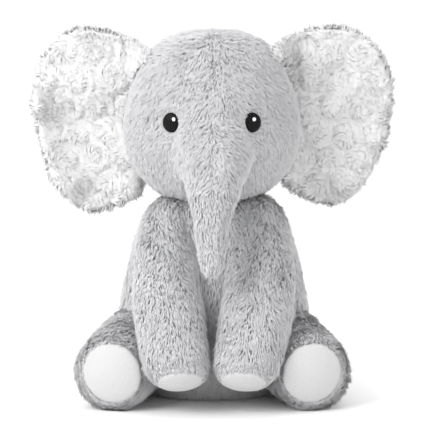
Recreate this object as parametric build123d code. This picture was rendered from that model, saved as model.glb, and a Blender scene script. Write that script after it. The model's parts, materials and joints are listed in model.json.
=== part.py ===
from build123d import *

import os
from math import asin, cos, radians, sin

# A seated plush elephant, sewn from fabric panels round loose fibre filling.
#
# Millimetres. +Z is up, the elephant faces -Y, and its own left is +X. The origin is on the floor, under the
# neck and between the hips. Every sewn panel, pad, eye and block of filling is a closed solid of its own. A
# limb ends in a round root that sits in a round pocket, which is where the soft seam lets it swing.

# ---- driving dimensions -------------------------------------------------------------------------------
CLEARANCE = 1.0        # gap between a moving root and its pocket
SEW_GAP = 0.1          # gap between two panels that are sewn edge to edge
FILL_GAP = 0.25        # gap between a panel and the filling behind it
FABRIC = 2.5           # thickness of plush fabric with its pile pressed flat

BELLY = Vector(0, 42, 52)          # middle of the round seat end of the torso
BELLY_RADIUS = 74.0
CHEST = Vector(0, 24, 119)         # middle of the round shoulder end
CHEST_RADIUS = 36.0
SEAT_RADIUS = 40.0
SIDE_SEAM_Y = 45.0     # the seam up each flank, between the front and back panels

HEAD = Vector(0, 2, 224)
HEAD_RADIUS = 66.0
NECK = Vector(0, 12, 155)
NECK_RADIUS = 15.0

TRUNK_BASE = Vector(0, -35, 214)
TRUNK_BASE_RADIUS = 33.0
TRUNK_ROOT = Vector(0, -70, 186)
TRUNK_ROOT_RADIUS = 19.5
TRUNK_BEND = Vector(0, -85, 147)
TRUNK_BEND_RADIUS = 12.5
TRUNK_TIP = Vector(0, -84, 116)
TRUNK_TIP_RADIUS = 8.0
TRUNK_SETBACK = 0.55   # how far a segment stops short of the next pivot, as a share of the pivot's radius

EYE_X, EYE_Z = 30.5, 222.0
EYE_HALF_WIDTH, EYE_HALF_HEIGHT = 5.9, 7.4
EYE_THICKNESS = 1.2
GLINT_RADIUS = 1.1
GLINT_SHIFT = Vector(1.6, 0, 2.6)   # where the light stitch sits, from the eye's middle

EAR_PIVOT = Vector(65, 20, 230)
EAR_CUP_RADIUS = 130.0
EAR_CUP_X, EAR_BACK_Y = 104.0, 30.0
EAR_PANEL = 3.2
EAR_FLAP = (-30, 35)

ARM_ROOT = Vector(36.5, -4, 140.5)
ARM_END = Vector(26.5, -76, 23)
ARM_ROOT_RADIUS, ARM_END_RADIUS = 20.5, 23.5
HAND_PAD_RADIUS = 18.5

LEG_ROOT = Vector(60, 15, 36.5)
LEG_END = Vector(79.5, -58, 28)
LEG_ROOT_RADIUS, LEG_END_RADIUS = 31.0, 27.5
LEG_FLARE = 10.0       # extra room round the foot end of a leg, for its swing
FOOT_PAD_RADIUS = 23.0

END_ROUNDING = 4.5     # round corner between a limb's side and its flat end
PAD_CROWN = 2.2        # how far a stuffed pad bulges out of its ring

TAIL_ROOT = Vector(0, 119, 50)
TAIL_END = Vector(0, 132, 24)
TAIL_ROOT_RADIUS, TAIL_END_RADIUS = 5.5, 3.5
TUFT_RADIUS, TUFT_TIP_RADIUS, TUFT_LENGTH = 7.0, 3.5, 12.0


# ---- plain shapes --------------------------------------------------------------------------------------
def ball(centre, radius):
    return Pos(*centre) * Sphere(radius)


def blunt_limb(root, end, root_radius, end_radius, rounding):
    """Round root, tapering side and flat end with a round corner, from root to end."""
    length = (end - root).length
    slope = asin((root_radius - end_radius) / length)
    tangent = Vector(root_radius * cos(slope), 0, root_radius * sin(slope))
    side_end = Vector(end_radius, 0, length - rounding)
    edges = [
        ThreePointArc((0, 0, -root_radius), (root_radius * cos(-0.7), 0, root_radius * sin(-0.7)), tangent),
        Line(tangent, side_end),
        ThreePointArc(
            side_end,
            (end_radius - rounding * 0.293, 0, length - rounding * 0.293),
            (end_radius - rounding, 0, length),
        ),
        Line((end_radius - rounding, 0, length), (0, 0, length)),
        Line((0, 0, length), (0, 0, -root_radius)),
    ]
    return Plane(origin=root, z_dir=end - root) * revolve(make_face(edges), axis=Axis.Z)


def round_limb(root, end, root_radius, end_radius):
    """Round root and round tip joined by a tangent cone."""
    length = (end - root).length
    slope = asin((root_radius - end_radius) / length)
    side = [(root_radius, 0), (end_radius, length)]
    foot, top = (Vector(r * cos(slope), 0, z + r * sin(slope)) for r, z in side)
    bend = (slope + radians(90)) / 2
    crest = Vector(0, 0, length + end_radius)
    edges = [
        ThreePointArc((0, 0, -root_radius), (root_radius * cos(-0.7), 0, root_radius * sin(-0.7)), foot),
        Line(foot, top),
        ThreePointArc(top, (end_radius * cos(bend), 0, length + end_radius * sin(bend)), crest),
        Line(crest, (0, 0, -root_radius)),
    ]
    return Plane(origin=root, z_dir=end - root) * revolve(make_face(edges), axis=Axis.Z)


def crowned_pad(end, direction, radius, thickness):
    """Disc sewn into a limb's end, its outer face a shallow dome."""
    dome = (radius**2 + PAD_CROWN**2) / (2 * PAD_CROWN)
    disc = Pos(0, 0, (PAD_CROWN - thickness) / 2) * Cylinder(radius, PAD_CROWN + thickness)
    return Plane(origin=end, z_dir=direction) * (disc & ball((0, 0, PAD_CROWN - dome), dome))


def mirrored(shape):
    return mirror(shape, about=Plane.YZ)


def turned_about(shape, pivot, axis, angle):
    return shape.rotate(Axis(pivot, axis), angle)


def cut(shape, cutters):
    for cutter in cutters:
        shape = shape - cutter
    return shape


def both_sides(shapes):
    return [s for shape in shapes for s in (shape, mirrored(shape))]


# ---- the limbs -----------------------------------------------------------------------------------------
def stuffed_limb(root, end, root_radius, end_radius, pad_radius):
    """Skin, filling and end pad of an arm or a leg."""
    direction = (end - root).normalized()
    outer = blunt_limb(root, end, root_radius, end_radius, END_ROUNDING)
    inner = FABRIC + FILL_GAP
    hollow, filling = (
        blunt_limb(root, end - direction * d, root_radius - d, end_radius - d, END_ROUNDING)
        for d in (FABRIC, inner)
    )
    mouth = Plane(origin=end, z_dir=direction) * Cylinder(pad_radius + SEW_GAP, 4 * FABRIC)
    pad = crowned_pad(end, direction, pad_radius, FABRIC - FILL_GAP)
    return {"skin": outer - hollow - mouth, "stuffing": filling, "pad": pad}


def limb_room(root, end, root_radius, end_radius, flare):
    """Pocket for a limb's round root, widening towards the limb's end by the flare."""
    return blunt_limb(root, end, root_radius + CLEARANCE, end_radius + CLEARANCE + flare, END_ROUNDING)


# ---- the torso -----------------------------------------------------------------------------------------
def torso_blank(depth=0.0):
    """Pear with a flat seat, inset by depth."""
    pear = round_limb(BELLY, CHEST, BELLY_RADIUS - depth, CHEST_RADIUS - depth)
    return pear - Pos(0, 0, depth - BELLY_RADIUS) * Box(*[6 * BELLY_RADIUS] * 2 + [2 * BELLY_RADIUS])


def torso():
    """Front and back panels, seat panel and filling."""
    arm = limb_room(ARM_ROOT, ARM_END, ARM_ROOT_RADIUS, ARM_END_RADIUS, 0)
    leg = limb_room(LEG_ROOT, LEG_END, LEG_ROOT_RADIUS, LEG_END_RADIUS, LEG_FLARE)
    pockets = both_sides([arm, leg])
    pockets += [ball(NECK, NECK_RADIUS + CLEARANCE), ball(TAIL_ROOT, TAIL_ROOT_RADIUS + CLEARANCE)]
    middle = Pos(BELLY.X, BELLY.Y)
    mouth = middle * Cylinder(SEAT_RADIUS + SEW_GAP, 4 * FABRIC)
    shell = cut(torso_blank() - torso_blank(FABRIC), pockets + [mouth])
    thickness = FABRIC - FILL_GAP
    return {
        "torso_front_panel": split(shell, bisect_by=Plane.XZ.offset(SEW_GAP - SIDE_SEAM_Y), keep=Keep.TOP),
        "torso_back_panel": split(shell, bisect_by=Plane.XZ.offset(-SEW_GAP - SIDE_SEAM_Y), keep=Keep.BOTTOM),
        "seat_panel": middle * Pos(0, 0, thickness / 2) * Cylinder(SEAT_RADIUS, thickness),
        "torso_stuffing": cut(torso_blank(FABRIC + FILL_GAP), pockets),
    }


# ---- the head ------------------------------------------------------------------------------------------
def head_blank(depth=0.0):
    """Round head with the broad root of the trunk, inset by depth, cut back from the trunk's pivot."""
    direction = (TRUNK_ROOT - TRUNK_BASE).normalized()
    root = round_limb(TRUNK_BASE, TRUNK_ROOT, TRUNK_BASE_RADIUS - depth, TRUNK_ROOT_RADIUS - depth)
    return ball(HEAD, HEAD_RADIUS - depth) + root - end_room(TRUNK_ROOT, direction, TRUNK_ROOT_RADIUS, depth)


def end_room(pivot, direction, radius, depth=0.0):
    """Everything within reach of a pivot that the segment before it must leave free."""
    size = 8 * radius
    beyond = Plane(origin=pivot - direction * (radius * TRUNK_SETBACK + depth), z_dir=direction)
    slab = beyond * Pos(0, 0, size / 2) * Box(size, size, size)
    return slab + ball(pivot, radius + CLEARANCE + depth)


def on_the_face(x, z, half_width, half_height, low, high):
    """A patch of the face between two heights above its surface, with an oval outline."""
    oval = extrude(Plane.XZ * Pos(x, z) * Ellipse(half_width, half_height), amount=HEAD_RADIUS * 2)
    return (oval & ball(HEAD, HEAD_RADIUS + high)) - ball(HEAD, HEAD_RADIUS + low)


def head():
    """Side panels, filling, eyes and the light stitch in each eye."""
    socket = ball(NECK, NECK_RADIUS + CLEARANCE)
    seam = Pos(*HEAD) * Box(2 * SEW_GAP, 4 * HEAD_RADIUS, 4 * HEAD_RADIUS)
    shell = cut(head_blank() - head_blank(FABRIC), [socket, seam])
    sides = shell.solids().sort_by(SortBy.VOLUME)[-2:].sort_by(Axis.X)
    parts = {
        "head_panel_right": sides[0],
        "head_panel_left": sides[1],
        "head_stuffing": head_blank(FABRIC + FILL_GAP) - socket,
    }
    for name, side in (("left", 1), ("right", -1)):
        eye = on_the_face(side * EYE_X, EYE_Z, EYE_HALF_WIDTH, EYE_HALF_HEIGHT, SEW_GAP, EYE_THICKNESS)
        at_x, at_z = side * EYE_X + GLINT_SHIFT.X, EYE_Z + GLINT_SHIFT.Z
        low, high = EYE_THICKNESS + SEW_GAP, EYE_THICKNESS + 0.5
        parts["eye_" + name] = eye
        parts["eye_glint_" + name] = on_the_face(at_x, at_z, GLINT_RADIUS, GLINT_RADIUS, low, high)
    return parts


# ---- the trunk -----------------------------------------------------------------------------------------
def trunk_segment(root, end, root_radius, end_radius, last):
    """Skin and filling of one trunk segment. All but the last leave room at the end for the next."""
    direction = (end - root).normalized()
    inner = FABRIC + FILL_GAP
    outer = round_limb(root, end, root_radius, end_radius)
    hollow = round_limb(root, end, root_radius - FABRIC, end_radius - FABRIC)
    filling = round_limb(root, end, root_radius - inner, end_radius - inner)
    if not last:
        room = end_room(end, direction, end_radius)
        outer, filling = outer - room, filling - room
    return outer - hollow, filling


# ---- the ears ------------------------------------------------------------------------------------------
def ear_outline():
    """Seen from the front: broad and round above, tapering to a blunt lobe below."""
    points = [
        (47, 270), (72, 285), (106, 288), (132, 270), (140, 242), (135, 203),
        (116, 161), (98, 147), (76, 153), (59, 169), (62, 200), (62, 235),
    ]
    return make_face(Spline([Vector(x, 0, z) for x, z in points], periodic=True))


def ear(side):
    """White front panel and grey back panel of one ear, cupped towards the front."""
    front_y = EAR_BACK_Y - EAR_CUP_RADIUS
    blank = extrude(ear_outline(), amount=3 * EAR_CUP_RADIUS, both=True)
    head = ball(HEAD, HEAD_RADIUS + CLEARANCE)
    head_room = [turned_about(head, EAR_PIVOT, Vector(0, 0, 1), angle) for angle in (*EAR_FLAP, 0)]
    panels = {}
    for name, inside in (("front", EAR_CUP_RADIUS - EAR_PANEL - SEW_GAP), ("back", EAR_CUP_RADIUS)):
        tube = Cylinder(inside + EAR_PANEL, 400) - Cylinder(inside, 400)
        tube = tube & (Pos(0, 2 * EAR_CUP_RADIUS, 0) * Box(*[4 * EAR_CUP_RADIUS] * 3))
        panel = cut(blank & (Pos(EAR_CUP_X, front_y, 225) * tube), head_room)
        panel = panel.solids().sort_by(SortBy.VOLUME)[-1]
        panels[f"ear_{name}_{side}"] = panel if side == "left" else mirrored(panel)
    return panels


# ---- the tail ------------------------------------------------------------------------------------------
def tail():
    """Stuffed tube with a tuft of long pile over its end."""
    tube = round_limb(TAIL_ROOT, TAIL_END, TAIL_ROOT_RADIUS, TAIL_END_RADIUS)
    downward = (TAIL_END - TAIL_ROOT).normalized()
    tuft = round_limb(TAIL_END, TAIL_END + downward * TUFT_LENGTH, TUFT_RADIUS, TUFT_TIP_RADIUS)
    grown = round_limb(TAIL_ROOT, TAIL_END, TAIL_ROOT_RADIUS + SEW_GAP, TAIL_END_RADIUS + SEW_GAP)
    return {"tail_skin": tube, "tail_tuft": tuft - grown}


# ---- the whole toy -------------------------------------------------------------------------------------
def elephant():
    parts = {**torso(), **head(), **ear("left"), **ear("right"), **tail()}
    parts["neck_stuffing"] = ball(NECK, NECK_RADIUS)
    upper = trunk_segment(TRUNK_ROOT, TRUNK_BEND, TRUNK_ROOT_RADIUS, TRUNK_BEND_RADIUS, False)
    lower = trunk_segment(TRUNK_BEND, TRUNK_TIP, TRUNK_BEND_RADIUS, TRUNK_TIP_RADIUS, True)
    parts["trunk_upper_skin"], parts["trunk_upper_stuffing"] = upper
    parts["trunk_lower_skin"], parts["trunk_lower_stuffing"] = lower
    arm = stuffed_limb(ARM_ROOT, ARM_END, ARM_ROOT_RADIUS, ARM_END_RADIUS, HAND_PAD_RADIUS)
    leg = stuffed_limb(LEG_ROOT, LEG_END, LEG_ROOT_RADIUS, LEG_END_RADIUS, FOOT_PAD_RADIUS)
    for limb, pad, pieces in (("arm", "hand", arm), ("leg", "foot", leg)):
        names = {"skin": f"{limb}_skin", "stuffing": f"{limb}_stuffing", "pad": f"{pad}_pad"}
        for piece, shape in pieces.items():
            parts[names[piece] + "_left"] = shape
            parts[names[piece] + "_right"] = mirrored(shape)
    return parts


if __name__ == "__main__":
    os.makedirs("parts", exist_ok=True)
    for node, shape in elephant().items():
        export_step(shape, f"parts/{node}.step")
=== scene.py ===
import json
import math
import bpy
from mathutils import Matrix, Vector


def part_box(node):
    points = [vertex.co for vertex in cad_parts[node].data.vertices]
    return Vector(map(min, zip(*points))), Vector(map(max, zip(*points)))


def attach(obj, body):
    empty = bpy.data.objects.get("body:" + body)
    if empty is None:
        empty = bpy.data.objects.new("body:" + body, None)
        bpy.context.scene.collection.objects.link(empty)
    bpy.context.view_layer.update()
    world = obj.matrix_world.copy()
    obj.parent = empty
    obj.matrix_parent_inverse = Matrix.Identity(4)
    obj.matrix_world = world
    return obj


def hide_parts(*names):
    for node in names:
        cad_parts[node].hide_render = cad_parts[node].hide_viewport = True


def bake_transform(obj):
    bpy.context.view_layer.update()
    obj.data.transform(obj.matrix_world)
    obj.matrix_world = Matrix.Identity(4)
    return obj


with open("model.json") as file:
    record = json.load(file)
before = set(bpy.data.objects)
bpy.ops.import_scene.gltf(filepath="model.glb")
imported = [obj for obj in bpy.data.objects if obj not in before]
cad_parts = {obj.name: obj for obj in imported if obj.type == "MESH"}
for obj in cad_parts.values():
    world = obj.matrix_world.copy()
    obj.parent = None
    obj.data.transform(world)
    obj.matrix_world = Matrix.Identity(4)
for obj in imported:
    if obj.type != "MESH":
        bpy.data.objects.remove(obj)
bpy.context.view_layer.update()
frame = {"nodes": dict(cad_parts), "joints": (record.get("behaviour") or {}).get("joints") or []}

from types import SimpleNamespace

import bpy
import bmesh
import numpy as np
from mathutils import Vector, kdtree
from mathutils.bvhtree import BVHTree

MM = 0.001
MM2 = MM * MM
SIDES = (("left", 1.0), ("right", -1.0))
joint_at = {j["name"]: np.array(j["pos_m"]) for j in frame["joints"]}

# driving sizes of the soft surfaces, in metres
PILE = 8.0 * MM            # length of the grey pile
LOCK = 0.85 * MM           # width of one lock of pile
SKIN_GAP = 2.75 * MM       # from a block of filling to the outside of its skin
SWIRL_PITCH = 24 * MM      # from one rosette of the ear plush to the next


# ---- small tools -------------------------------------------------------------------------------------
def box(node):
    """Lowest and highest corner of a CAD node at rest."""
    return [np.array(corner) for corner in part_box(node)]


def middle(node):
    low, high = box(node)
    return (low + high) / 2


def coords(mesh):
    co = np.empty(len(mesh.vertices) * 3)
    mesh.vertices.foreach_get("co", co)
    return co.reshape(-1, 3)


def normals(mesh):
    out = np.empty(len(mesh.vertices) * 3)
    mesh.vertex_normals.foreach_get("vector", out)
    return out.reshape(-1, 3)


def put(mesh, co):
    mesh.vertices.foreach_set("co", np.asarray(co, float).ravel())
    mesh.update()


def unit(v):
    return v / np.maximum(np.linalg.norm(v, axis=-1, keepdims=True), 1e-12)


def ramp(x, start, end):
    """0 at start and 1 at end, straight in between and level outside."""
    return np.clip((x - start) / (end - start), 0, 1)


def ease(share):
    """A share from 0 to 1 that starts and stops gently."""
    return share * share * (3 - 2 * share)


def above_ground(co, least=0.0):
    co[..., 2] = np.maximum(co[..., 2], least)
    return co


def wave(p, seed, pitch):
    """Smooth noise, mostly between -1 and 1, that varies over the given pitch."""
    rng = np.random.default_rng(seed)
    total = np.zeros(len(p))
    for _ in range(6):
        direction = unit(rng.normal(size=3))
        rate = 2 * math.pi / (pitch * rng.uniform(0.7, 1.6))
        total += np.sin(p @ direction * rate + rng.uniform(0, 2 * math.pi))
    return total / 2.6


# ---- making and changing meshes ----------------------------------------------------------------------
def new_object(name, mesh):
    obj = bpy.data.objects.new(name, mesh)
    bpy.context.scene.collection.objects.link(obj)
    return obj


def merged(name, meshes):
    """One new object from copies of meshes."""
    bm = bmesh.new()
    for mesh in meshes:
        bm.from_mesh(mesh)
    whole = bpy.data.meshes.new(name)
    bm.to_mesh(whole)
    bm.free()
    return new_object(name, whole)


def copy_nodes(name, *nodes):
    return merged(name, [frame["nodes"][node].data for node in nodes])


def join(name, *objs):
    """One object in place of several."""
    whole = merged(name, [o.data for o in objs])
    for o in objs:
        bpy.data.objects.remove(o)
    return whole


def blob(centre, radii):
    """A ball, or an egg shape where its three radii differ."""
    bm = bmesh.new()
    bmesh.ops.create_icosphere(bm, subdivisions=4, radius=1)
    mesh = bpy.data.meshes.new("part")
    bm.to_mesh(mesh)
    bm.free()
    put(mesh, coords(mesh) * radii + centre)
    return new_object("part", mesh)


def hull(obj):
    """Turns a mesh into the tightest skin around it that has no hollows."""
    bm = bmesh.new()
    bm.from_mesh(obj.data)
    result = bmesh.ops.convex_hull(bm, input=bm.verts)
    inside = result["geom_interior"] + result["geom_unused"]
    extra = [v for v in inside if isinstance(v, bmesh.types.BMVert)]
    bmesh.ops.delete(bm, geom=extra, context="VERTS")
    bm.to_mesh(obj.data)
    bm.free()
    return obj


def apply_modifiers(obj):
    depsgraph = bpy.context.evaluated_depsgraph_get()
    mesh = bpy.data.meshes.new_from_object(obj.evaluated_get(depsgraph))
    obj.modifiers.clear()
    obj.data = mesh
    return obj


def remesh(obj, voxel, smooth=0):
    """Even quads over the outside of whatever the object holds, smoothed a number of times."""
    m = obj.modifiers.new("remesh", "REMESH")
    m.mode = "VOXEL"
    m.voxel_size = voxel
    if smooth:
        s = obj.modifiers.new("smooth", "SMOOTH")
        s.iterations = smooth
        s.factor = 0.5
    return apply_modifiers(obj)


def inflate(obj, distance):
    """Moves the whole surface out along its normals."""
    put(obj.data, coords(obj.data) + normals(obj.data) * distance)
    return obj


def puff(obj, pressure=4.0, frames=12, reach=1.6 * MM):
    """Lets filling press the cloth out for a moment, so that it creases as a filled skin does.

    No point moves further than reach.
    """
    scene = bpy.context.scene
    rest = coords(obj.data)
    cloth = obj.modifiers.new("cloth", "CLOTH")
    cloth.settings.quality = 4
    cloth.settings.use_pressure = True
    cloth.settings.uniform_pressure_force = pressure
    cloth.settings.effector_weights.gravity = 0
    cloth.point_cache.frame_start = 1
    cloth.point_cache.frame_end = frames
    for f in range(1, frames + 1):
        scene.frame_set(f)
    apply_modifiers(obj)
    scene.frame_set(1)
    moved = coords(obj.data) - rest
    far = np.linalg.norm(moved, axis=1, keepdims=True)
    moved *= np.minimum(1, reach / np.maximum(far, 1e-9))
    put(obj.data, above_ground(rest + moved))
    return obj


def shade_smooth(obj):
    obj.data.polygons.foreach_set("use_smooth", [True] * len(obj.data.polygons))


def finish_piece(obj, material):
    obj.data.materials.clear()
    obj.data.materials.append(material)
    return obj


# ---- pile --------------------------------------------------------------------------------------------
def area_of(obj):
    return sum(p.area for p in obj.data.polygons)


def scatter(obj, count, rng):
    """Points spread evenly by area over a mesh, with their normals."""
    mesh = obj.data
    mesh.calc_loop_triangles()
    tri = np.empty(len(mesh.loop_triangles) * 3, int)
    mesh.loop_triangles.foreach_get("vertices", tri)
    tri = tri.reshape(-1, 3)
    co, no = coords(mesh), normals(mesh)
    a, b, c = co[tri[:, 0]], co[tri[:, 1]], co[tri[:, 2]]
    area = np.linalg.norm(np.cross(b - a, c - a), axis=1)
    pick = np.searchsorted(np.cumsum(area) / area.sum(), rng.random(count))
    pick = np.minimum(pick, len(tri) - 1)
    u, v = rng.random(count), rng.random(count)
    flip = u + v > 1
    u[flip], v[flip] = 1 - u[flip], 1 - v[flip]
    w = np.stack([1 - u - v, u, v], axis=1)
    p = np.einsum("ij,ijk->ik", w, co[tri[pick]])
    n = unit(np.einsum("ij,ijk->ik", w, no[tri[pick]]))
    return p, n


def comb(p, n, flow, seed, swirl=0.42, stray=0.2):
    """Unit directions along the surface: the flow, turned by slow noise and a little at random."""
    rng = np.random.default_rng(seed)
    d = flow(p, n)
    d = unit(d - n * np.sum(d * n, axis=1, keepdims=True))
    side = np.cross(n, d)
    angle = swirl * wave(p, seed + 1, 38 * MM) + 0.5 * swirl * wave(p, seed + 2, 13 * MM)
    angle += rng.normal(size=len(p)) * stray
    return d * np.cos(angle)[:, None] + side * np.sin(angle)[:, None]


def lead(p, rng):
    """One lock in nine leads a clump. Gives each lock the leader nearest to it."""
    leaders = rng.choice(len(p), max(1, len(p) // 9), replace=False)
    tree = kdtree.KDTree(len(leaders))
    for i, k in enumerate(leaders):
        tree.insert(p[k], i)
    tree.balance()
    return leaders[np.array([tree.find(q)[1] for q in p])]


def tufts(name, base, spacing, length, width, flow, seed, keep=None, trim=None, shade=None,
          lean=1.17, unruly=0.18, clump=0.35, soft=2.2, **noise):
    """Pile over a base mesh: curved three-sided locks, gathered into clumps. Returns one mesh object.

    spacing is the area of cloth per lock, and flow the way the locks lie. keep says where pile grows, and
    trim how much of its length it has there. lean is the angle from upright in radians, unruly how much it
    varies, and clump how far the tips of neighbours draw together. shade is added to the shading normals.
    """
    rng = np.random.default_rng(seed)
    p, n = scatter(base, int(area_of(base) / spacing), rng)
    if keep is not None:
        ok = keep(p, n)
        p, n = p[ok], n[ok]
    d = comb(p, n, flow, seed, **noise)
    size = length * rng.uniform(0.7, 1.15, len(p))
    if trim is not None:
        size = size * trim(p)
    tilt = lean + 0.14 * wave(p, seed + 5, 16 * MM) + rng.normal(size=len(p)) * unruly
    first = n * np.cos(tilt * 0.7)[:, None] + d * np.sin(tilt * 0.7)[:, None]
    last = n * np.cos(tilt * 1.25)[:, None] + d * np.sin(tilt * 1.25)[:, None]
    root = p - n * 0.8 * MM
    mid = p + first * (size * 0.45)[:, None]
    tip = mid + last * (size * 0.6)[:, None]
    chief = lead(p, rng)
    pull = clump * rng.uniform(0.5, 1.0, len(p))[:, None]
    tip = tip + (tip[chief] - tip) * pull
    mid = mid + (mid[chief] - mid) * pull * 0.35
    tone = 0.5 + 0.28 * (rng.random(len(p)) - 0.5) + 0.5 * (rng.random(len(p))[chief] - 0.5)
    if shade is not None:
        n = unit(n + shade)
    return lock_mesh(name, root, mid, tip, n, width * rng.uniform(0.75, 1.2, len(p)), tone, soft)


# a lock has three corners round its root, then three round its middle, then one at its tip
LOCK_HEIGHTS = (0.02, 0.02, 0.02, 0.5, 0.5, 0.5, 0.98)
LOCK_FACES = np.array([
    (4, 1, 0), (3, 4, 0), (5, 2, 1), (4, 5, 1), (3, 0, 2), (5, 3, 2),
    (6, 4, 3), (6, 5, 4), (6, 3, 5),
])


def lock_mesh(name, root, mid, tip, n, width, tone, soft):
    """Tapering locks as one mesh, open only at their roots, which are inside the cloth below.

    They are shaded mostly as that cloth when soft is large. In the UV layer, across is a lock's tone and up
    is the way from its root to its tip.
    """
    along = unit(tip - root)
    side = unit(np.cross(along, n))
    up = np.cross(side, along)
    w = width[:, None] / 2
    rings = []
    for centre, share in ((root, 1.0), (mid, 0.85)):
        rings += [centre - side * w * share, centre + side * w * share, centre + up * w * share * 1.1]
    corners = above_ground(np.stack(rings + [tip], axis=1), 0.25 * MM)
    count, each = corners.shape[:2]
    faces = (np.arange(count)[:, None, None] * each + LOCK_FACES[None]).reshape(-1, 3)
    mesh = bpy.data.meshes.new(name)
    mesh.vertices.add(count * each)
    mesh.vertices.foreach_set("co", corners.ravel())
    mesh.loops.add(faces.size)
    mesh.loops.foreach_set("vertex_index", faces.ravel().astype(np.int32))
    mesh.polygons.add(len(faces))
    mesh.polygons.foreach_set("loop_start", np.arange(0, faces.size, 3, dtype=np.int32))
    mesh.polygons.foreach_set("use_smooth", np.ones(len(faces), bool))
    mesh.update(calc_edges=True)
    tones = np.repeat(np.clip(tone, 0.02, 0.98), each)
    uv = np.stack([tones, np.tile(LOCK_HEIGHTS, count)], axis=1)
    mesh.uv_layers.new(name="OFBake").data.foreach_set("uv", uv[faces.ravel()].ravel())
    outward = np.stack([-side, side, up, -side, side, up, along], axis=1)
    mesh.normals_split_custom_set_from_vertices(unit(n[:, None] * soft + outward).reshape(-1, 3))
    return new_object(name, mesh)


# ---- materials ---------------------------------------------------------------------------------------
def node_material(name, roughness=0.9, sheen=0.3, gloss=0.2):
    m = bpy.data.materials.new(name)
    m.use_nodes = True
    tree = m.node_tree
    shader = next(x for x in tree.nodes if x.type == "BSDF_PRINCIPLED")
    shader.inputs["Roughness"].default_value = roughness
    shader.inputs["Sheen Weight"].default_value = sheen
    shader.inputs["Sheen Roughness"].default_value = 0.5
    shader.inputs["Specular IOR Level"].default_value = gloss
    return m, tree, shader


def pile_material(name, root, mid, tip, spread):
    """Colour by place along each lock, darker towards the root as painted shade deep in the pile, and a
    little by lock.
    """
    m, tree, shader = node_material(name)
    uv = tree.nodes.new("ShaderNodeUVMap")
    uv.uv_map = "OFBake"
    split = tree.nodes.new("ShaderNodeSeparateXYZ")
    colours = tree.nodes.new("ShaderNodeValToRGB")
    stops = colours.color_ramp.elements
    # the root end is darker than the tip: painted shade where the locks crowd together at the cloth
    stops[0].position, stops[0].color = 0.0, (*root, 1)
    stops[1].position, stops[1].color = 1.0, (*tip, 1)
    stops.new(0.45).color = (*mid, 1)
    tone = tree.nodes.new("ShaderNodeMapRange")
    tone.inputs["To Min"].default_value = 1 - spread
    tone.inputs["To Max"].default_value = 1 + spread
    mix = tree.nodes.new("ShaderNodeVectorMath")
    mix.operation = "SCALE"
    tree.links.new(uv.outputs["UV"], split.inputs[0])
    tree.links.new(split.outputs["Y"], colours.inputs["Fac"])
    tree.links.new(split.outputs["X"], tone.inputs["Value"])
    tree.links.new(colours.outputs["Color"], mix.inputs[0])
    tree.links.new(tone.outputs["Result"], mix.inputs["Scale"])
    tree.links.new(mix.outputs["Vector"], shader.inputs["Base Color"])
    return m


def cloth_material(name, dark, light, scale=600, bump=0.15, **surface):
    """Short nap: fine noise in colour and relief."""
    m, tree, shader = node_material(name, **surface)
    where = tree.nodes.new("ShaderNodeTexCoord")
    noise = tree.nodes.new("ShaderNodeTexNoise")
    noise.inputs["Scale"].default_value = scale
    noise.inputs["Detail"].default_value = 3
    colours = tree.nodes.new("ShaderNodeValToRGB")
    stops = colours.color_ramp.elements
    stops[0].position, stops[0].color = 0.3, (*dark, 1)
    stops[1].position, stops[1].color = 0.7, (*light, 1)
    relief = tree.nodes.new("ShaderNodeBump")
    relief.inputs["Strength"].default_value = bump
    relief.inputs["Distance"].default_value = 0.5 * MM
    tree.links.new(where.outputs["Object"], noise.inputs["Vector"])
    tree.links.new(noise.outputs["Fac"], colours.inputs["Fac"])
    tree.links.new(colours.outputs["Color"], shader.inputs["Base Color"])
    tree.links.new(noise.outputs["Fac"], relief.inputs["Height"])
    tree.links.new(relief.outputs["Normal"], shader.inputs["Normal"])
    return m


# roots darker than tips: painted shade inside the pile
GREY = pile_material("grey_pile", (0.46, 0.46, 0.473), (0.58, 0.58, 0.593), (0.67, 0.67, 0.682), 0.07)
WHITE = pile_material("white_pile", (0.73, 0.73, 0.725), (0.76, 0.76, 0.76), (0.775, 0.775, 0.775), 0.015)
# each backing cloth is darker than its pile: painted shade where the cloth shows between the locks
GREY_CLOTH = cloth_material("grey_backing", (0.41, 0.41, 0.422), (0.47, 0.47, 0.482))
WHITE_CLOTH = cloth_material("white_backing", (0.69, 0.69, 0.685), (0.73, 0.73, 0.73))
PAD_CLOTH = cloth_material("white_pad", (0.51, 0.51, 0.51), (0.56, 0.56, 0.56), scale=900, bump=0.3)
BLACK_THREAD = cloth_material(
    "black_thread", (0.002, 0.002, 0.002), (0.007, 0.007, 0.008), scale=1500,
    roughness=0.4, sheen=0.0, gloss=0.12,
)
WHITE_THREAD = cloth_material(
    "white_thread", (0.88, 0.88, 0.88), (0.96, 0.96, 0.96), scale=1500, roughness=0.5, sheen=0.0,
)


# ---- flows: which way the pile lies ------------------------------------------------------------------
def down(p, n):
    return np.tile([0.0, 0.0, -1.0], (len(p), 1))


def head_flow(p, n):
    """Back from the brow, down and outward over the cheeks and trunk, and parted along the face's seam."""
    x = p[:, 0]
    on_face = ramp(p[:, 1], -0.03, -0.05) * ramp(p[:, 2], 0.228, 0.214)
    parting = 0.45 * np.tanh(x / (1.5 * MM)) * np.exp(-np.abs(x) / (9 * MM)) * on_face
    d = down(p, n)
    d[:, 0] += 8.0 * x + parting
    d[:, 1] += 0.35
    return d


def limb_flow(root, end):
    """Along the limb and a little downward."""
    along = unit(end - root) + np.array([0, 0, -0.35])

    def flow(p, n):
        return np.tile(along, (len(p), 1))
    return flow


# ---- the torso ---------------------------------------------------------------------------------------
SIDE_SEAM = 45 * MM                    # where the front and back panels of the torso meet, along y
SHOULDER_SLOPE = (122 * MM, 162 * MM)  # heights between which the shoulders are drawn in
FLANK = 100 * MM                       # height at which the left side is fullest


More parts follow.
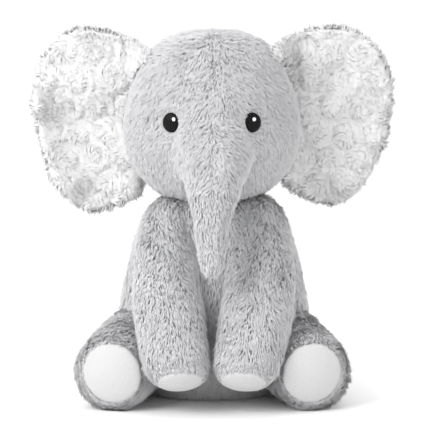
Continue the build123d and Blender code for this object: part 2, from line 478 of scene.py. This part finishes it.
def slope_shoulders(co):
    """Draws the shoulders in towards the neck. The left side is filled a little more than the right."""
    left = co[:, 0] > 0
    fuller = 0.055 * np.exp(-(((co[:, 2] - FLANK) / (45 * MM)) ** 2)) * left
    drawn_in = np.where(left, 0.07, 0.15) * ease(ramp(co[:, 2], *SHOULDER_SLOPE))
    co[:, 0] *= 1 + fuller - drawn_in
    return co


def torso():
    trunk = copy_nodes("part", "torso_front_panel", "torso_back_panel", "seat_panel")
    shoulders = [blob(joint_at["arm_raise_" + name], np.full(3, 19 * MM)) for name, _ in SIDES]
    base = remesh(hull(join("torso_cloth", trunk, *shoulders)), 4 * MM, smooth=3)
    put(base.data, above_ground(coords(base.data)))
    puff(base)
    put(base.data, slope_shoulders(coords(base.data)))
    shade_smooth(base)
    zones = {
        "front_left": lambda p: (p[:, 1] < SIDE_SEAM) & (p[:, 0] > 0),
        "front_right": lambda p: (p[:, 1] < SIDE_SEAM) & (p[:, 0] <= 0),
        "back": lambda p: p[:, 1] >= SIDE_SEAM,
    }
    for name, zone in zones.items():
        pile = tufts(
            f"torso_pile_{name}", base, 1.35 * MM2, PILE, LOCK, down, 11,
            keep=lambda p, n: zone(p) & (n[:, 2] > -0.9) & (p[:, 2] > 2 * MM),
        )
        finish_piece(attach(pile, "torso"), GREY)
    finish_piece(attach(base, "torso"), GREY_CLOTH)
    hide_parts("torso_front_panel", "torso_back_panel", "seat_panel", "torso_stuffing")


# ---- head and trunk ----------------------------------------------------------------------------------
TO_BROW = np.array([0, 35, 28]) * MM   # from the trunk's root to the middle of the brow
TRUNK_ROOT_RADIUS = 19.5 * MM
BROW_FLARE = 13.5 * MM                 # how much wider the root gets on the way to the brow

# the plane where the cloth of the face ends and that of the trunk's tip begins
TRUNK_CUT = 0.5 * (joint_at["trunk_lift"] + joint_at["trunk_curl"]) + np.array([0, 0, -1 * MM])
TRUNK_DOWN = unit(joint_at["trunk_curl"] - joint_at["trunk_lift"])

# the head's width against its filling's, by share of the height
HEAD_WIDTH = (
    (0, 0.05, 0.12, 0.2, 0.3, 0.4, 0.5, 0.6, 0.72, 0.83, 0.9, 0.96, 1),
    (1.2, 1.2, 1.12, 1.08, 1.045, 1.02, 0.99, 0.97, 0.96, 1.0, 1.08, 1.18, 1.2),
)
# the trunk's width against its filling's, and how far it leans to the left, by height over its root
TRUNK_WIDTH = (
    np.array([-75, -50, -35, -20, -5, 8, 22, 34]) * MM,
    (0.86, 0.88, 0.93, 0.97, 1.03, 1.12, 1.08, 1),
)
TRUNK_LEAN = (np.array([-40, -18, 0, 25, 45]) * MM, np.array([0, 1.4, 2.6, 2.6, 0]) * MM)


def head_surface():
    """The skin over head and trunk, with the brow carried down into the trunk's root."""
    parts = [
        inflate(remesh(copy_nodes("part", node), 2 * MM), SKIN_GAP)
        for node in ("head_stuffing", "trunk_upper_stuffing", "trunk_lower_stuffing")
    ]
    trunk = joint_at["trunk_lift"]
    for share in (0.3, 0.62):
        wide = TRUNK_ROOT_RADIUS + share * BROW_FLARE
        parts.append(blob(trunk + TO_BROW * share, wide * np.array([0.96, 1, 1])))
    base = inflate(remesh(join("head_whole", *parts), 2.5 * MM, smooth=24), 0.8 * MM)
    low, high = box("head_panel_left")
    co = coords(base.data)
    over_root = co[:, 2] - trunk[2]
    off_trunk = ramp(co[:, 1], trunk[1], trunk[1] + 20 * MM)
    head_width = np.interp((co[:, 2] - low[2]) / (high[2] - low[2]), *HEAD_WIDTH)
    co[:, 0] *= 1 + (np.interp(over_root, *TRUNK_WIDTH) - 1) * (1 - off_trunk)
    co[:, 0] += np.interp(over_root, *TRUNK_LEAN) * (1 - off_trunk)
    co[:, 0] *= 1 + (head_width - 1) * off_trunk
    above_brow = np.maximum(over_root - 34 * MM, 0)
    off_muzzle = 1 - np.exp(-(np.hypot(co[:, 0], above_brow) / (28 * MM)) ** 4)
    front = ramp(co[:, 1], 0, -45 * MM)
    co[:, 1] += 6.5 * MM * front * off_muzzle * ramp(co[:, 2], low[2], low[2] + 30 * MM)
    put(base.data, co)
    return base


def cut_mesh(obj, name, keep_low):
    """A copy of the mesh on one side of the trunk's cut plane, closed at the cut."""
    mesh = obj.data.copy()
    bm = bmesh.new()
    bm.from_mesh(mesh)
    bmesh.ops.bisect_plane(
        bm, geom=bm.verts[:] + bm.edges[:] + bm.faces[:], plane_co=TRUNK_CUT, plane_no=TRUNK_DOWN,
        clear_inner=keep_low, clear_outer=not keep_low,
    )
    bmesh.ops.holes_fill(bm, edges=[e for e in bm.edges if e.is_boundary], sides=0)
    bm.to_mesh(mesh)
    bm.free()
    mesh.name = name
    return new_object(name, mesh)


def below_cut(p):
    return (p - TRUNK_CUT) @ TRUNK_DOWN > 0


def from_eye(p):
    """How far points lie outside the nearer eye's oval, in metres, seen from the front."""
    far = np.full(len(p), 1.0)
    for name, _ in SIDES:
        low, high = box("eye_" + name)
        half = (high - low) / 2
        q = (p - (low + high) / 2)[:, [0, 2]]
        reach = np.linalg.norm(q / half[[0, 2]], axis=1) - 1
        far = np.where(p[:, 1] < 0, np.minimum(far, reach * half[0]), far)
    return far


def seam_trim(p):
    """Short pile along the seam from between the eyes down the trunk, and around the eyes."""
    off_seam = p[:, 0] - np.interp(p[:, 2], [0.15, 0.2], [0, 2.6 * MM])
    below_eyes = np.clip((middle("eye_left")[2] - p[:, 2]) / (12 * MM) + 0.6, 0, 1)
    on_seam = np.exp(-((off_seam / (1.3 * MM)) ** 2)) * (p[:, 1] < -0.03) * below_eyes
    return (1 - 0.45 * on_seam) * np.clip(from_eye(p) / (7 * MM), 0.3, 1)


def head():
    surface = head_surface()
    face, tip = cut_mesh(surface, "head_cloth", False), cut_mesh(surface, "trunk_cloth", True)
    bpy.data.objects.remove(surface)
    neck = joint_at["head_turn"]

    def off_neck(p):
        return np.linalg.norm(p - neck, axis=1) > 20 * MM

    zones = {
        "head_pile_left": (0.78, lambda p: (p[:, 0] > 0) & (p[:, 1] <= 0)),
        "head_pile_right": (0.78, lambda p: (p[:, 0] <= 0) & (p[:, 1] <= 0)),
        "head_pile_back_left": (1.15, lambda p: (p[:, 0] > 0) & (p[:, 1] > 0)),
        "head_pile_back_right": (1.15, lambda p: (p[:, 0] <= 0) & (p[:, 1] > 0)),
    }
    face_pile = [
        tufts(
            name, face, area * MM2, PILE * 0.9, LOCK * 0.92, head_flow, 31, trim=seam_trim,
            keep=lambda p, n: zone(p) & (from_eye(p) > 0.5 * MM) & off_neck(p) & ~below_cut(p),
            swirl=0.3, stray=0.16,
        )
        for name, (area, zone) in zones.items()
    ]
    tip_pile = tufts(
        "trunk_pile", tip, 0.9 * MM2, PILE * 0.7, LOCK * 0.9, down, 41, trim=seam_trim, swirl=0.35,
        keep=lambda p, n: below_cut(p - TRUNK_DOWN * 0.2 * MM),
    )
    for obj in (*face_pile, face):
        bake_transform(obj)
    for obj in (tip_pile, tip):
        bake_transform(obj)
    for obj in (*face_pile, tip_pile):
        finish_piece(obj, GREY)
    for obj in (face, tip):
        finish_piece(obj, GREY_CLOTH)
        shade_smooth(obj)
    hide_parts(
        "head_panel_left", "head_panel_right", "head_stuffing", "trunk_upper_skin",
        "trunk_upper_stuffing",
    )
    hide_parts("trunk_lower_skin", "trunk_lower_stuffing")


# ---- eyes --------------------------------------------------------------------------------------------
def dome(name, centre, out, half_x, half_z, rise, ridges, depth):
    """Raised oval with its edge on the surface, ridged like satin stitches."""
    up = unit(np.array([0, 0, 1]) - out * out[2])
    side = np.cross(up, out)
    rings, around = 22, 72
    r = np.linspace(0, 1, rings + 1)[1:]
    a = np.linspace(0, 2 * math.pi, around, endpoint=False)
    rr, aa = np.meshgrid(r, a, indexing="ij")
    x, z = rr * np.cos(aa) * half_x, rr * np.sin(aa) * half_z
    stitches = 1 + depth * np.sin(x / half_x * ridges * math.pi)
    h = rise * np.sqrt(np.clip(1 - rr ** 2, 0, 1)) * stitches
    x, z, h = (np.append(q.ravel(), top) for q, top in ((x, 0), (z, 0), (h, rise)))
    verts = np.array(centre) + np.outer(x, side) + np.outer(z, up) + np.outer(h, out)
    faces = []
    for i in range(0, (rings - 1) * around, around):
        for j in range(around):
            k = (j + 1) % around
            faces.append((i + j, i + k, i + around + k, i + around + j))
    last = len(verts) - 1
    faces += [((j + 1) % around, j, last) for j in range(around)]
    faces.append(tuple((rings - 1) * around + j for j in range(around)))
    mesh = bpy.data.meshes.new(name)
    mesh.from_pydata([tuple(v) for v in verts], [], faces)
    mesh.validate()
    bm = bmesh.new()
    bm.from_mesh(mesh)
    bmesh.ops.recalc_face_normals(bm, faces=bm.faces)
    bm.to_mesh(mesh)
    bm.free()
    obj = new_object(name, mesh)
    shade_smooth(obj)
    return obj


def from_front(point, surface):
    """Where a line from the front through the point meets a surface, and a direction out of it there."""
    mesh = bpy.data.objects[surface].data
    tree = BVHTree.FromPolygons(coords(mesh), [p.vertices for p in mesh.polygons])
    at, normal, _, _ = tree.ray_cast(Vector((point[0], -0.3, point[2])), Vector((0, 1, 0)))
    return np.array(at), unit(unit(np.array(normal)) + np.array([0, -0.7, 0]))


def eyes():
    """Stitched ovals, slightly larger than in the CAD, each with its light standing on it."""
    for name, _ in SIDES:
        low, high = box("eye_" + name)
        half = (high - low) / 2
        centre, out = from_front((low + high) / 2, "head_cloth")
        eye = dome(
            f"eye_{name}_stitched", centre + out * 0.8 * MM, out, half[0] * 1.2, half[2] * 1.03,
            rise=3.2 * MM, ridges=12, depth=0.03,
        )
        finish_piece(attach(eye, "head"), BLACK_THREAD)
        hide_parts("eye_" + name)
        shift = middle("eye_glint_" + name) - middle("eye_" + name)
        glint_at, _ = from_front(centre + shift, eye.name)
        glint = dome(
            f"eye_glint_{name}_stitched", glint_at, out, 1.4 * MM, 1.5 * MM,
            rise=0.7 * MM, ridges=3, depth=0.05,
        )
        finish_piece(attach(glint, "head"), WHITE_THREAD)
        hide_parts("eye_glint_" + name)


# ---- ears --------------------------------------------------------------------------------------------
# no two ears are sewn on quite alike: how much higher each sits, and how much its lobe is drawn up
EAR_LIFT = {"left": 3 * MM, "right": 0.5 * MM}
EAR_SHORTER = {"left": 0.1, "right": 0.04}
EAR_LOBE_TOP = 200 * MM
GREY_BACK = 0.75           # y of the normal from which on an ear is grey


def rosettes(low, high, seed):
    """Centres of the plush swirls over the ear's face, in x and z."""
    rng = np.random.default_rng(seed)
    centres = []
    for row, z in enumerate(np.arange(low[2], high[2] + SWIRL_PITCH, SWIRL_PITCH * 0.87)):
        for x in np.arange(low[0], high[0] + SWIRL_PITCH, SWIRL_PITCH):
            shift = rng.uniform(-0.12, 0.12, 2) * SWIRL_PITCH
            centres.append((x + (row % 2) * SWIRL_PITCH / 2 + shift[0], z + shift[1]))
    return np.array(centres)


def swirl_at(p, centres):
    """Each point's offset, distance and angle in its nearest rosette, and which way that one turns."""
    delta = p[:, None, [0, 2]] - centres[None]
    nearest = np.argmin((delta ** 2).sum(-1), axis=1)
    q = delta[np.arange(len(p)), nearest]
    turn = np.where(nearest % 3 == 0, -1.0, 1.0)
    return q, np.linalg.norm(q, axis=1), np.arctan2(q[:, 1], q[:, 0]), turn


def rumple(mesh, centres, side, seed):
    """Rosettes in relief on the front, a rippled outer edge, and slow waves over the whole ear."""
    co, no = coords(mesh), normals(mesh)
    _, r, angle, turn = swirl_at(co, centres)
    crown = np.clip(1 - (r / (14 * MM)) ** 2, 0, 1)
    groove = 0.5 + 0.5 * np.cos(angle * turn + r / (2.0 * MM))
    relief = (3.2 * crown + 1.5 * groove * np.clip(r / (3 * MM), 0, 1) - 1.1) * MM
    relief += 3.0 * MM * wave(co, seed + 7, 48 * MM)
    edge = ramp(np.abs(co[:, 0]), 0.105, 0.145) + ramp(co[:, 2], 0.185, 0.145)
    ripple = 3.0 * MM * edge * np.sin(co[:, 2] / (7 * MM) + co[:, 0] * side / (9 * MM))
    facing = np.clip(-no[:, 1], 0, 1)
    co = co + no * (facing * relief)[:, None]
    co[:, 1] += ripple + 2.5 * MM * wave(co, seed + 9, 55 * MM)
    return co


def wrap_forward(co):
    """Brings the upper inner corner of an ear, which is sewn to the head, forward over its side."""
    low, high = box("head_stuffing")
    radius = (high[0] - low[0]) / 2
    centre = np.array([0, high[1] - radius, high[2] - radius])
    inner = ramp(np.abs(co[:, 0]), 68 * MM, 50 * MM) * ramp(co[:, 2], 240 * MM, 260 * MM)
    co[:, 1] -= 24 * MM * ease(inner)
    off = co - centre
    grow = np.maximum(1, (radius + 5.5 * MM) / np.linalg.norm(off, axis=1))
    return centre + off * np.where(inner > 0, grow, 1)[:, None]


def ear_flows(low, high, centres):
    """Which way the ear's plush lies: in the rosettes, over the rim, and on the back."""
    ear_middle = (low + high) / 2

    def over_rim(p, n):
        d = p - ear_middle
        d[:, 1] = 0
        return unit(d)

    def in_swirls(p, n):
        """Round and out of each rosette, and outward where the plush turns over the rim."""
        q, r, _, turn = swirl_at(p, centres)
        q = q / np.maximum(r, 1e-6)[:, None]
        level = np.zeros(len(p))
        outward = np.stack([q[:, 0], level, q[:, 1]], axis=1)
        around = np.stack([-q[:, 1], level, q[:, 0]], axis=1)
        rim = ramp(n[:, 1], -0.75, -0.35)[:, None]
        return (outward * 0.5 + around * turn[:, None]) * (1 - rim) + over_rim(p, n) * 2 * rim

    def on_back(p, n):
        """Down the back of the ear, and out over its top edge."""
        top = ramp(p[:, 2], high[2] - 14 * MM, high[2] - 8 * MM)[:, None]
        return down(p, n) * (1 - top) + over_rim(p, n) * top

    return in_swirls, over_rim, on_back


def fringed(p, n):
    """Round the rim, and over the corner that is sewn to the head."""
    corner = (np.abs(p[:, 0]) < 74 * MM) & (p[:, 2] > 248 * MM) & (n[:, 1] < 0)
    return corner | ((n[:, 1] > -0.6) & (n[:, 1] < 0.55))


def ear(name, side, seed):
    base = copy_nodes(f"ear_cloth_{name}", f"ear_front_{name}", f"ear_back_{name}")
    remesh(inflate(base, 0.15 * MM), 1.7 * MM, smooth=5)
    low, high = box(f"ear_front_{name}")
    centres = rosettes(low, high, seed)
    co = coords(base.data)
    co[:, 2] += EAR_LIFT[name] + EAR_SHORTER[name] * np.maximum(EAR_LOBE_TOP - co[:, 2], 0)
    put(base.data, co)
    put(base.data, wrap_forward(rumple(base.data, centres, side, seed)))
    shade_smooth(base)
    in_swirls, over_rim, on_back = ear_flows(low, high, centres)
    white = tufts(
        f"ear_swirl_{name}", base, 0.8 * MM2, 6.0 * MM, 1.0 * MM, in_swirls, seed + 1,
        keep=lambda p, n: n[:, 1] < GREY_BACK,
        lean=1.25, clump=0.2, unruly=0.06, soft=8, swirl=0.1, stray=0.1,
    )
    fringe = tufts(
        f"ear_fringe_{name}", base, 0.9 * MM2, 7.5 * MM, 0.9 * MM, over_rim, seed + 3,
        keep=fringed, shade=np.array([0, -0.25, 0.5]),
        lean=0.95, clump=0.6, unruly=0.3, soft=2.5, stray=0.4,
    )
    grey = tufts(
        f"ear_pile_{name}", base, 1.3 * MM2, PILE * 0.7, LOCK, on_back, seed + 2,
        keep=lambda p, n: n[:, 1] >= GREY_BACK,
    )
    for obj, material, slot in (
        (base, WHITE_CLOTH, "white_swirl_plush"), (white, WHITE, "white_swirl_plush"),
        (fringe, WHITE, "white_swirl_plush"), (grey, GREY, "grey_plush"),
    ):
        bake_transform(obj)
        finish_piece(obj, material)
    base.data.materials.append(GREY_CLOTH)
    for poly in base.data.polygons:
        poly.material_index = int(poly.normal.y >= GREY_BACK)
    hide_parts(f"ear_front_{name}", f"ear_back_{name}")


# ---- arms and legs -----------------------------------------------------------------------------------
# fullness: by share of the way from root to pad, how wide the skin is against its filling
# bow, toe_in: how far the middle is bowed outward, and the end turned inward
# retract: how far the end is drawn back
# pad_scale, pad_crown, pad_shift: the pad's size against the CAD's, its doming, and its shift out and up
ARM = SimpleNamespace(
    kind="arm", pad="hand", seed=91, spacing=1.05 * MM2,
    fullness=((-0.2, 0, 0.3, 0.6, 0.85, 0.95, 1), (1, 1, 1.06, 1.09, 1.01, 0.94, 0.92)),
    bow=2.8 * MM, toe_in=2.8 * MM, retract=4.5 * MM,
    pad_scale=0.97, pad_crown=2.5 * MM, pad_shift=(0.0, 0.0),
)
LEG = SimpleNamespace(
    kind="leg", pad="foot", seed=95, spacing=1.0 * MM2,
    fullness=((0, 1), (1, 1)),
    bow=0.0, toe_in=0.0, retract=0.0,
    pad_scale=1.03, pad_crown=4 * MM, pad_shift=(-3.2 * MM, 2.6 * MM),
)


def pad_axis(node, root):
    """Centre of a round pad, and its axis, found from its own shape and turned away from the root."""
    co = coords(frame["nodes"][node].data)
    centre = (co.min(0) + co.max(0)) / 2
    thinnest_first = np.linalg.eigh(np.cov((co - centre).T))[1]
    axis = thinnest_first[:, 0]
    return centre, axis if (centre - root) @ axis > 0 else -axis


def limb_skin(form, name, side, root, end, axis):
    base = copy_nodes(f"{form.kind}_cloth_{name}", f"{form.kind}_stuffing_{name}")
    remesh(base, 3 * MM, smooth=3)
    puff(inflate(base, SKIN_GAP))
    co = coords(base.data)
    along = (co - root) @ axis
    spine = root + np.outer(along, axis)
    share = along / ((end - root) @ axis)
    co = spine + (co - spine) * np.interp(share, *form.fullness)[:, None]
    share = np.clip(share, 0, 1)
    co[:, 0] += side * (form.bow * np.sin(math.pi * share) - form.toe_in * share ** 3)
    co -= np.outer(share * form.retract, axis)
    if form.kind == "arm":
        co = slope_shoulders(co)
    put(base.data, above_ground(co))
    shade_smooth(base)
    return base


def limb_pad(form, name, side, end, axis):
    """The pad, domed by the filling behind it, with its centre and its radius."""
    pad = copy_nodes(f"{form.pad}_cloth_{name}", f"{form.pad}_pad_{name}")
    remesh(pad, 1.5 * MM, smooth=4)
    co = coords(pad.data) - end
    height = co @ axis
    flat = co - np.outer(height, axis)
    r = np.linalg.norm(flat, axis=1)
    rise = form.pad_crown * np.clip(1 - (r / r.max()) ** 2, 0, 1) + 0.8 * MM
    co = flat * form.pad_scale + np.outer(height + np.where(height > 0, rise, 0), axis)
    across = unit(np.cross(axis, [0, 0, 1]))
    across *= np.sign(across[0])
    upward = np.cross(across, axis)
    upward *= np.sign(upward[2])
    centre = end + across * side * form.pad_shift[0] + upward * form.pad_shift[1] - axis * form.retract
    centre[0] -= side * form.toe_in
    put(pad.data, co + centre)
    shade_smooth(pad)
    return pad, centre, r.max()


def limb(form, name, side):
    root = joint_at[f"{form.kind}_raise_{name}"]
    pad_node = f"{form.pad}_pad_{name}"
    end, axis = pad_axis(pad_node, root)
    skin = limb_skin(form, name, side, root, end, axis)
    pad, centre, reach = limb_pad(form, name, side, end, axis)

    def off_pad(p, n):
        q = p - centre
        beyond = q @ axis
        radial = np.linalg.norm(q - np.outer(beyond, axis), axis=1)
        return ~((radial < reach * form.pad_scale - 0.5 * MM) & (beyond > -8 * MM))

    def rim_trim(p):
        """Shorter pile towards the ring that the pad is sewn into."""
        return np.clip((reach - (p - centre) @ axis - 18 * MM) / (12 * MM), 0.45, 1)

    pile = tufts(
        f"{form.kind}_pile_{name}", skin, form.spacing, PILE, LOCK, limb_flow(root, centre),
        form.seed + (side > 0), keep=off_pad, trim=rim_trim,
    )
    for obj, material, slot in (
        (skin, GREY_CLOTH, "grey_plush"), (pile, GREY, "grey_plush"), (pad, PAD_CLOTH, "white_pad_plush"),
    ):
        finish_piece(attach(obj, f"{form.kind}_{name}"), material)
    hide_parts(f"{form.kind}_skin_{name}", f"{form.kind}_stuffing_{name}")
    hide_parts(pad_node)


# ---- neck and tail -----------------------------------------------------------------------------------
def neck():
    base = remesh(copy_nodes("neck_cloth", "neck_stuffing"), 2.5 * MM)
    shade_smooth(base)
    pile = tufts("neck_pile", base, 2 * MM2, 5 * MM, LOCK, down, 71)
    for obj, material in ((base, GREY_CLOTH), (pile, GREY)):
        finish_piece(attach(obj, "neck"), material)
    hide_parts("neck_stuffing")


def tail():
    base = remesh(copy_nodes("tail_cloth", "tail_skin"), 1.2 * MM, smooth=2)
    shade_smooth(base)
    pile = tufts("tail_pile", base, 1.2 * MM2, 4 * MM, LOCK * 0.8, down, 81)
    core = remesh(copy_nodes("tail_tuft_cloth", "tail_tuft"), 1.2 * MM, smooth=6)
    shade_smooth(core)
    tuft = tufts(
        "tail_tuft_pile", core, 0.35 * MM2, 11 * MM, LOCK, down, 82, lean=0.95, unruly=0.3, swirl=0.3,
    )
    for obj, material in ((base, GREY_CLOTH), (pile, GREY), (core, GREY_CLOTH), (tuft, GREY)):
        finish_piece(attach(obj, "tail"), material)
    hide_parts("tail_skin")
    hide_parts("tail_tuft")


# ---- studio ------------------------------------------------------------------------------------------
TOY_MIDDLE = Vector((0, 0, 0.14))
LAMPS = (   # name, place, size and power
    ("key", (-1.15, -1.25, 1.1), 1.2, 26),
    ("fill", (1.3, -1.3, 0.8), 1.4, 4),
    ("top", (-0.1, 0.3, 1.7), 1.2, 8),
)
PAPER = ((-3.0, 0.0), (1.2, 0.0), (1.6, 0.06), (1.9, 0.3), (2.0, 0.7), (2.0, 4.0))  # y and z, seen end on
PAPER_HALF_WIDTH = 4.0
CAMERA_TARGET = Vector((0.0024, 0, 0.1465))
CAMERA_DISTANCE = 1.5
CAMERA_ELEVATION = math.radians(5.5)
VIEW_WIDTH = 0.3397        # what the camera takes in across, at its target
SENSOR_WIDTH = 36


def paper():
    """White paper that lies on the floor and curves up behind."""
    mesh = bpy.data.meshes.new("floor")
    verts = [(x, y, z) for y, z in PAPER for x in (-PAPER_HALF_WIDTH, PAPER_HALF_WIDTH)]
    faces = [(2 * i, 2 * i + 1, 2 * i + 3, 2 * i + 2) for i in range(len(PAPER) - 1)]
    mesh.from_pydata(verts, [], faces)
    floor = new_object("floor", mesh)
    shade_smooth(floor)
    m, _, shader = node_material("floor_paper", 0.9, 0.0)
    shader.inputs["Base Color"].default_value = (0.93, 0.93, 0.93, 1)
    mesh.materials.append(m)
    return floor


def lamp(name, at, size, power):
    light = bpy.data.lights.new(name, "AREA")
    light.size = size
    light.energy = power
    obj = new_object(name, light)
    obj.location = at
    obj.rotation_euler = (TOY_MIDDLE - Vector(at)).to_track_quat("-Z", "Y").to_euler()
    return obj


def camera():
    obj = new_object("camera", bpy.data.cameras.new("camera"))
    back, up = math.cos(CAMERA_ELEVATION), math.sin(CAMERA_ELEVATION)
    obj.location = CAMERA_TARGET + Vector((0, -back, up)) * CAMERA_DISTANCE
    obj.rotation_euler = (CAMERA_TARGET - obj.location).to_track_quat("-Z", "Y").to_euler()
    obj.data.sensor_width = SENSOR_WIDTH
    obj.data.lens = SENSOR_WIDTH * CAMERA_DISTANCE / VIEW_WIDTH
    return obj


def studio():
    scene = bpy.context.scene
    scene.view_settings.view_transform = "Standard"
    scene.world = bpy.data.worlds.new("studio")
    scene.world.use_nodes = True
    sky = scene.world.node_tree.nodes["Background"]
    sky.inputs["Color"].default_value = (1, 1, 1, 1)
    sky.inputs["Strength"].default_value = 0.92
    paper()
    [lamp(*row) for row in LAMPS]
    scene.camera = camera()


torso()
head()
eyes()
ear("left", 1.0, 51)
ear("right", -1.0, 61)
for name, side in SIDES:
    limb(ARM, name, side)
    limb(LEG, name, side)
neck()
tail()
studio()
